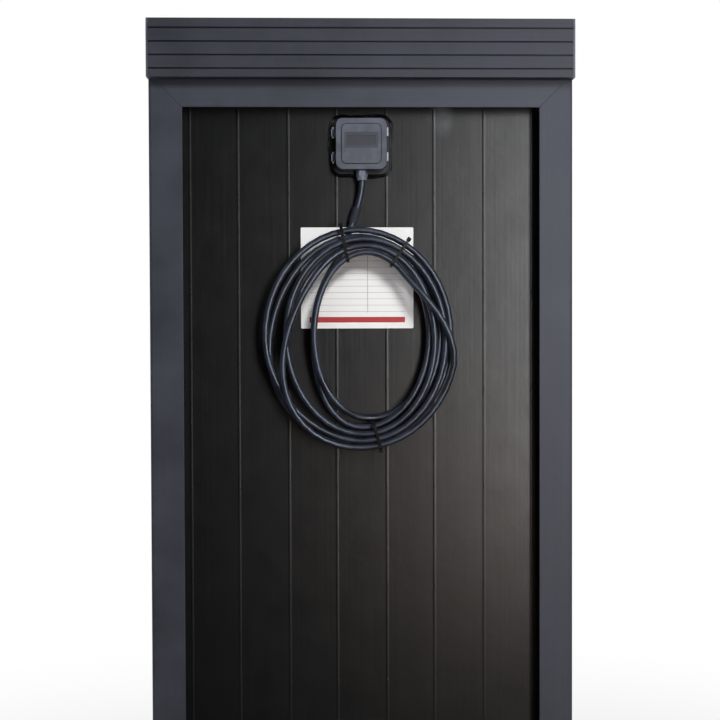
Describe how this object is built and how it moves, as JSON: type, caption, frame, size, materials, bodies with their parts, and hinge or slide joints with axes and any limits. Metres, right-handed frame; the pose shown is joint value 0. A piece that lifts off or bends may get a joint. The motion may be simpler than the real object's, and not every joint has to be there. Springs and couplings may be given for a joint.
{
  "type": "vehicle roof solar panel",
  "caption": "Framed black solar panel for a vehicle roof, with hollow bonding spoilers at its ends, a hinged junction box and a coiled, tied output cable on its underside.",
  "frame": {"origin": "middle of the panel in the roof plane that the spoilers' bonding faces lie in", "axes": "+X across the panel, +Y towards the sun, out of the glass, +Z along the panel towards the junction box"},
  "size_m": [0.541, 0.05, 1.3264],
  "materials": {
    "anodised_frame": "black anodised, satin",
    "mill_aluminium": "mill finish",
    "black_plastic": "moulded, satin",
    "zinc_steel": "zinc plated",
    "silicon_cells": "polished, dark blue-black",
    "tinned_copper": "tinned",
    "clear_film": "clear film",
    "front_glass": "low iron, fine texture",
    "black_backsheet": "black film, semi-gloss",
    "white_label": "white film label, unprinted",
    "black_rubber": "matt",
    "cable_sheath": "black sheath, satin",
    "red_core": "red insulation",
    "black_nylon": "nylon"
  },
  "bodies": {
    "panel": {"frame_rail_left": "anodised_frame", "frame_rail_right": "anodised_frame", "frame_rail_top": "anodised_frame", "frame_rail_bottom": "anodised_frame", "spoiler_top": "anodised_frame", "spoiler_bottom": "anodised_frame", "corner_key_top_left": "mill_aluminium", "corner_key_top_right": "mill_aluminium", "corner_key_bottom_left": "mill_aluminium", "corner_key_bottom_right": "mill_aluminium", "spoiler_cap_top_left": "black_plastic", "spoiler_cap_top_right": "black_plastic", "spoiler_cap_bottom_left": "black_plastic", "spoiler_cap_bottom_right": "black_plastic", "junction_box_base": "black_plastic", "spoiler_screw_top_1": "zinc_steel", "spoiler_screw_top_2": "zinc_steel", "spoiler_screw_top_3": "zinc_steel", "spoiler_screw_bottom_1": "zinc_steel", "spoiler_screw_bottom_2": "zinc_steel", "spoiler_screw_bottom_3": "zinc_steel", "cell_string_1": "silicon_cells", "cell_string_2": "silicon_cells", "cell_string_3": "silicon_cells", "cell_string_4": "silicon_cells", "bus_ribbon_bottom_left": "tinned_copper", "bus_ribbon_bottom_right": "tinned_copper", "bus_ribbon_top": "tinned_copper", "output_ribbon_minus": "tinned_copper", "output_ribbon_plus": "tinned_copper", "terminal_minus": "tinned_copper", "terminal_centre": "tinned_copper", "terminal_plus": "tinned_copper", "front_encapsulant": "clear_film", "rear_encapsulant": "clear_film", "front_glass": "front_glass", "backsheet": "black_backsheet", "rating_label": "white_label", "edge_seal": "black_rubber", "lid_gasket": "black_rubber", "gland_seal": "black_rubber", "silicone_bead": "black_rubber", "lead_sleeve": "black_rubber", "terminal_carrier": "black_rubber", "bypass_diode_1": "black_rubber", "bypass_diode_2": "black_rubber", "cable_lead": "cable_sheath", "cable_coil": "cable_sheath", "core_minus": "cable_sheath", "core_plus": "red_core", "cable_tie_top": "black_nylon", "cable_tie_side": "black_nylon", "cable_tie_bottom": "black_nylon"},
    "lid": {"junction_box_lid": "black_plastic"},
    "nut": {"gland_nut": "black_plastic"}
  },
  "joints": [
    {"name": "lid_hinge", "type": "hinge", "parent": "panel", "child": "lid", "pos_m": [-0.0361, 0.0328, 0.5092], "axis": [0, 0, -1], "range_deg": [0, 110]},
    {"name": "gland_nut_turn", "type": "hinge", "parent": "panel", "child": "nut", "pos_m": [0.0009, 0.0293, 0.46995], "axis": [0, 0, 1], "continuous": true}
  ]
}
